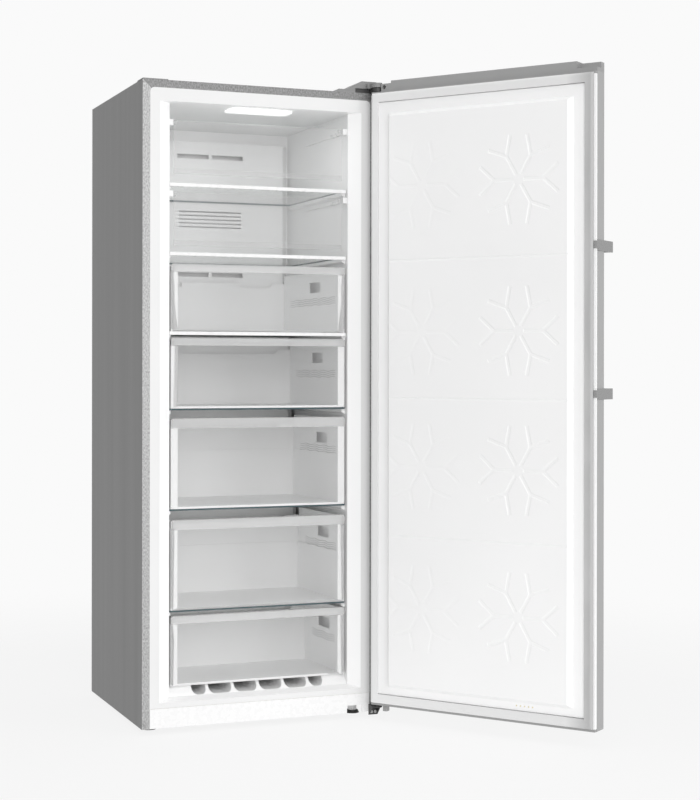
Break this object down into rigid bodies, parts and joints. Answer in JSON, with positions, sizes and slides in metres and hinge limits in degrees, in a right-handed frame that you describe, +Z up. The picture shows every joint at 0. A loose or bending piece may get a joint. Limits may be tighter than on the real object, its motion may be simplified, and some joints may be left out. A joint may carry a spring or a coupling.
{
  "type": "upright freezer",
  "caption": "Upright frost-free freezer with a right-hinged door, clear-fronted pull-out drawers, flap-fronted upper compartments, glass shelves and a compressor bay.",
  "frame": {"origin": "on the floor, half way across the cabinet, in the plane of its front face", "axes": "+X to the hinge side, +Y from the front face to the back, +Z up"},
  "size_m": [1.1886, 1.2209, 1.8705],
  "materials": {
    "cabinet_grey": "satin grey pre-painted steel",
    "back_steel": "zinc-coated sheet",
    "frame_steel": "zinc-coated sheet",
    "liner_white": "satin white vacuum-formed plastic",
    "foam": "rigid polyurethane foam",
    "trim_white": "white moulded plastic",
    "hinge_black": "black powder coat",
    "cover_grey": "grey moulded plastic",
    "screw_steel": "plated steel",
    "lamp": "opal diffuser",
    "circuit": "green circuit board",
    "shelf_glass": "toughened glass with ground edges",
    "clear_plastic": "clear polystyrene",
    "drawer_white": "translucent white plastic",
    "duct_white": "satin white plastic",
    "coil_aluminium": "bare aluminium",
    "heater_metal": "sheathed heater",
    "fan_plastic": "moulded plastic",
    "motor_grey": "moulded plastic and steel",
    "compressor_black": "black enamel",
    "rubber_black": "moulded rubber",
    "tray_plastic": "moulded plastic",
    "condenser_black": "black enamel",
    "copper": "bare copper tube",
    "foot_black": "moulded plastic",
    "door_steel": "brushed stainless steel",
    "gasket": "light grey magnetic seal",
    "cap_grey": "grey moulded plastic",
    "display": "black window",
    "bush": "acetal bush",
    "handle_bar": "brushed steel",
    "handle_bracket": "satin metal"
  },
  "bodies": {
    "cabinet": {"cabinet_shell": "cabinet_grey", "rear_panel": "back_steel", "base_frame": "frame_steel", "inner_liner": "liner_white", "insulation_foam": "foam", "kick_plate": "trim_white", "corner_cap": "cover_grey", "top_hinge_bracket": "hinge_black", "top_hinge_cover": "cover_grey", "bottom_hinge_bracket": "hinge_black", "hinge_screws": "screw_steel", "lamp_lens": "lamp", "lamp_board": "circuit", "temperature_sensor": "fan_plastic", "upper_shelf_panes": "shelf_glass", "lower_shelf_panes": "shelf_glass", "shelf_trims": "trim_white", "flap_brackets": "trim_white", "duct_panel": "duct_white", "evaporator": "coil_aluminium", "defrost_heater": "heater_metal", "evap_fan_motor": "motor_grey", "drain_tube": "tray_plastic", "drip_tray": "tray_plastic", "compressor": "compressor_black", "compressor_grommets": "rubber_black", "condenser": "condenser_black", "condenser_fan_motor": "motor_grey", "refrigerant_lines": "copper", "rear_cover": "back_steel", "power_inlet": "tray_plastic", "control_box": "tray_plastic"},
    "door": {"door_outer_panel": "door_steel", "door_liner": "liner_white", "door_foam": "foam", "door_gasket": "gasket", "door_top_cap": "cap_grey", "door_bottom_cap": "cap_grey", "display_module": "display", "hinge_bushes": "bush", "handle_bar": "handle_bar", "handle_brackets": "handle_bracket"},
    "upper_flap": {"flap_1": "clear_plastic"},
    "lower_flap": {"flap_2": "clear_plastic"},
    "drawer_1": {"drawer_1_box": "drawer_white", "drawer_1_front": "clear_plastic"},
    "drawer_2": {"drawer_2_box": "drawer_white", "drawer_2_front": "clear_plastic"},
    "drawer_3": {"drawer_3_box": "drawer_white", "drawer_3_front": "clear_plastic"},
    "drawer_4": {"drawer_4_box": "drawer_white", "drawer_4_front": "clear_plastic"},
    "drawer_5": {"drawer_5_box": "drawer_white", "drawer_5_front": "clear_plastic"},
    "front_foot_left": {"front_foot_left": "foot_black"},
    "front_foot_right": {"front_foot_right": "foot_black"},
    "roller_left": {"roller_left": "foot_black"},
    "roller_right": {"roller_right": "foot_black"},
    "evap_fan": {"evap_fan": "fan_plastic"},
    "condenser_fan": {"condenser_fan": "fan_plastic"}
  },
  "joints": [
    {"name": "door_hinge", "type": "hinge", "parent": "cabinet", "child": "door", "pos_m": [0.3445, -0.028, 0.06], "axis": [0, 0, 1], "range_deg": [-126, 9]},
    {"name": "upper_flap_pivot", "type": "hinge", "parent": "cabinet", "child": "upper_flap", "pos_m": [0, 0.037, 1.723], "axis": [-1, 0, 0], "range_deg": [0, 80]},
    {"name": "lower_flap_pivot", "type": "hinge", "parent": "cabinet", "child": "lower_flap", "pos_m": [0, 0.037, 1.521], "axis": [-1, 0, 0], "range_deg": [0, 80]},
    {"name": "drawer_1_slide", "type": "slide", "parent": "cabinet", "child": "drawer_1", "axis": [0, -1, 0], "range_m": [0, 0.33]},
    {"name": "drawer_2_slide", "type": "slide", "parent": "cabinet", "child": "drawer_2", "axis": [0, -1, 0], "range_m": [0, 0.29]},
    {"name": "drawer_3_slide", "type": "slide", "parent": "cabinet", "child": "drawer_3", "axis": [0, -1, 0], "range_m": [0, 0.27]},
    {"name": "drawer_4_slide", "type": "slide", "parent": "cabinet", "child": "drawer_4", "axis": [0, -1, 0], "range_m": [0, 0.25]},
    {"name": "drawer_5_slide", "type": "slide", "parent": "cabinet", "child": "drawer_5", "axis": [0, -1, 0], "range_m": [0, 0.2]},
    {"name": "front_foot_left_turn", "type": "hinge", "parent": "cabinet", "child": "front_foot_left", "pos_m": [-0.312, 0.084, 0.03], "axis": [0, 0, 1], "continuous": true},
    {"name": "front_foot_right_turn", "type": "hinge", "parent": "cabinet", "child": "front_foot_right", "pos_m": [0.312, 0.084, 0.03], "axis": [0, 0, 1], "continuous": true},
    {"name": "roller_left_spin", "type": "hinge", "parent": "cabinet", "child": "roller_left", "pos_m": [-0.312, 0.566, 0.016], "axis": [1, 0, 0], "continuous": true},
    {"name": "roller_right_spin", "type": "hinge", "parent": "cabinet", "child": "roller_right", "pos_m": [0.312, 0.566, 0.016], "axis": [1, 0, 0], "continuous": true},
    {"name": "evap_fan_spin", "type": "hinge", "parent": "cabinet", "child": "evap_fan", "pos_m": [0, 0.499, 1.04], "axis": [0, 1, 0], "continuous": true},
    {"name": "condenser_fan_spin", "type": "hinge", "parent": "cabinet", "child": "condenser_fan", "pos_m": [-0.142, 0.5, 0.112], "axis": [1, 0, 0], "continuous": true}
  ]
}
